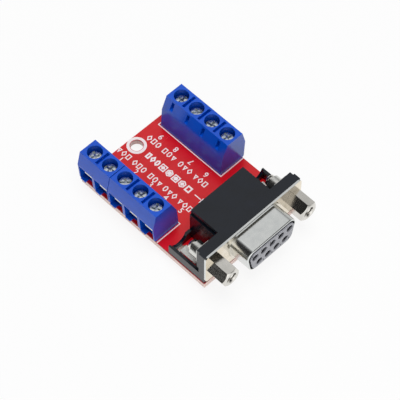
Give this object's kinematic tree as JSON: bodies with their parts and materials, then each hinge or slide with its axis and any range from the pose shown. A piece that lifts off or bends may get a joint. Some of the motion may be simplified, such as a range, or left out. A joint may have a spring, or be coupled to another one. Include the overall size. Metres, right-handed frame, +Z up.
{
  "type": "d-sub terminal block adapter",
  "caption": "Adapter board from a right-angle D-shaped socket with jackscrews to rows of screw terminals with rising-cage clamps.",
  "frame": {"origin": "centre of the socket shell in the front plane of its flange", "axes": "+X to the right seen from behind the socket, +Y from the socket back along the board, +Z up from the board's component side; the socket faces -Y"},
  "size_m": [0.0324, 0.0475, 0.0141],
  "materials": {
    "red_solder_resist": "gloss solder resist on glass laminate",
    "blue_polyamide": "moulded, light gloss",
    "black_polyester": "moulded, fine spark-eroded grain",
    "grey_polyester": "moulded, smooth",
    "nickel_plate": "drawn steel, nickel plated, satin",
    "polished_nickel": "turned brass, nickel plated",
    "nickel_screw": "steel, nickel plated, bright",
    "zinc_plate": "steel, zinc plated",
    "tinned_brass": "tinned brass strip",
    "tin_plate": "tinned strip",
    "gold_plate": "brass, gold flash",
    "solder": "bright solder",
    "screen_ink": "white screen-printed ink"
  },
  "bodies": {
    "root": {"circuit_board": "red_solder_resist", "clinch_nut_left": "tin_plate", "clinch_nut_right": "tin_plate", "contact_insulator": "grey_polyester", "contact_solder": "solder", "four_way_housing": "blue_polyamide", "jackscrew_left": "polished_nickel", "jackscrew_right": "polished_nickel", "rear_housing": "black_polyester", "socket_contact_1": "gold_plate", "socket_contact_2": "gold_plate", "socket_contact_3": "gold_plate", "socket_contact_4": "gold_plate", "socket_contact_5": "gold_plate", "socket_contact_6": "gold_plate", "socket_contact_7": "gold_plate", "socket_contact_8": "gold_plate", "socket_contact_9": "gold_plate", "socket_shell": "nickel_plate", "strap_left": "tin_plate", "strap_right": "tin_plate", "terminal_pin_1": "tinned_brass", "terminal_pin_2": "tinned_brass", "terminal_pin_3": "tinned_brass", "terminal_pin_4": "tinned_brass", "terminal_pin_5": "tinned_brass", "terminal_pin_6": "tinned_brass", "terminal_pin_7": "tinned_brass", "terminal_pin_8": "tinned_brass", "terminal_pin_9": "tinned_brass", "terminal_solder": "solder", "three_way_housing": "blue_polyamide", "two_way_housing": "blue_polyamide"},
    "screw_1": {"clamp_screw_1": "nickel_screw"},
    "screw_2": {"clamp_screw_2": "nickel_screw"},
    "screw_3": {"clamp_screw_3": "nickel_screw"},
    "screw_4": {"clamp_screw_4": "nickel_screw"},
    "screw_5": {"clamp_screw_5": "nickel_screw"},
    "screw_6": {"clamp_screw_6": "nickel_screw"},
    "screw_7": {"clamp_screw_7": "nickel_screw"},
    "screw_8": {"clamp_screw_8": "nickel_screw"},
    "screw_9": {"clamp_screw_9": "nickel_screw"},
    "cage_1": {"clamp_cage_1": "zinc_plate"},
    "cage_2": {"clamp_cage_2": "zinc_plate"},
    "cage_3": {"clamp_cage_3": "zinc_plate"},
    "cage_4": {"clamp_cage_4": "zinc_plate"},
    "cage_5": {"clamp_cage_5": "zinc_plate"},
    "cage_6": {"clamp_cage_6": "zinc_plate"},
    "cage_7": {"clamp_cage_7": "zinc_plate"},
    "cage_8": {"clamp_cage_8": "zinc_plate"},
    "cage_9": {"clamp_cage_9": "zinc_plate"}
  },
  "joints": [
    {"name": "screw_turn_1", "type": "hinge", "parent": "root", "child": "screw_1", "pos_m": [-0.01275, 0.03906, 0], "axis": [0, 0, 1], "range_deg": [0, 1520]},
    {"name": "cage_lift_1", "type": "slide", "parent": "root", "child": "cage_1", "axis": [0, 0, 1], "range_m": [-0.0019, 0]},
    {"name": "screw_turn_2", "type": "hinge", "parent": "root", "child": "screw_2", "pos_m": [-0.01275, 0.03398, 0], "axis": [0, 0, 1], "range_deg": [0, 1520]},
    {"name": "cage_lift_2", "type": "slide", "parent": "root", "child": "cage_2", "axis": [0, 0, 1], "range_m": [-0.0019, 0]},
    {"name": "screw_turn_3", "type": "hinge", "parent": "root", "child": "screw_3", "pos_m": [-0.01275, 0.0289, 0], "axis": [0, 0, 1], "range_deg": [0, 1520]},
    {"name": "cage_lift_3", "type": "slide", "parent": "root", "child": "cage_3", "axis": [0, 0, 1], "range_m": [-0.0019, 0]},
    {"name": "screw_turn_4", "type": "hinge", "parent": "root", "child": "screw_4", "pos_m": [-0.01275, 0.02382, 0], "axis": [0, 0, 1], "range_deg": [0, 1520]},
    {"name": "cage_lift_4", "type": "slide", "parent": "root", "child": "cage_4", "axis": [0, 0, 1], "range_m": [-0.0019, 0]},
    {"name": "screw_turn_5", "type": "hinge", "parent": "root", "child": "screw_5", "pos_m": [-0.01275, 0.01874, 0], "axis": [0, 0, 1], "range_deg": [0, 1520]},
    {"name": "cage_lift_5", "type": "slide", "parent": "root", "child": "cage_5", "axis": [0, 0, 1], "range_m": [-0.0019, 0]},
    {"name": "screw_turn_6", "type": "hinge", "parent": "root", "child": "screw_6", "pos_m": [0.01275, 0.02134, 0], "axis": [0, 0, 1], "range_deg": [0, 1520]},
    {"name": "cage_lift_6", "type": "slide", "parent": "root", "child": "cage_6", "axis": [0, 0, 1], "range_m": [-0.0019, 0]},
    {"name": "screw_turn_7", "type": "hinge", "parent": "root", "child": "screw_7", "pos_m": [0.01275, 0.02642, 0], "axis": [0, 0, 1], "range_deg": [0, 1520]},
    {"name": "cage_lift_7", "type": "slide", "parent": "root", "child": "cage_7", "axis": [0, 0, 1], "range_m": [-0.0019, 0]},
    {"name": "screw_turn_8", "type": "hinge", "parent": "root", "child": "screw_8", "pos_m": [0.01275, 0.0315, 0], "axis": [0, 0, 1], "range_deg": [0, 1520]},
    {"name": "cage_lift_8", "type": "slide", "parent": "root", "child": "cage_8", "axis": [0, 0, 1], "range_m": [-0.0019, 0]},
    {"name": "screw_turn_9", "type": "hinge", "parent": "root", "child": "screw_9", "pos_m": [0.01275, 0.03658, 0], "axis": [0, 0, 1], "range_deg": [0, 1520]},
    {"name": "cage_lift_9", "type": "slide", "parent": "root", "child": "cage_9", "axis": [0, 0, 1], "range_m": [-0.0019, 0]}
  ],
  "couplings": [
    {"joint": "screw_turn_1", "follows": "cage_lift_1", "rad_per_m": -13963},
    {"joint": "screw_turn_2", "follows": "cage_lift_2", "rad_per_m": -13963},
    {"joint": "screw_turn_3", "follows": "cage_lift_3", "rad_per_m": -13963},
    {"joint": "screw_turn_4", "follows": "cage_lift_4", "rad_per_m": -13963},
    {"joint": "screw_turn_5", "follows": "cage_lift_5", "rad_per_m": -13963},
    {"joint": "screw_turn_6", "follows": "cage_lift_6", "rad_per_m": -13963},
    {"joint": "screw_turn_7", "follows": "cage_lift_7", "rad_per_m": -13963},
    {"joint": "screw_turn_8", "follows": "cage_lift_8", "rad_per_m": -13963},
    {"joint": "screw_turn_9", "follows": "cage_lift_9", "rad_per_m": -13963}
  ]
}
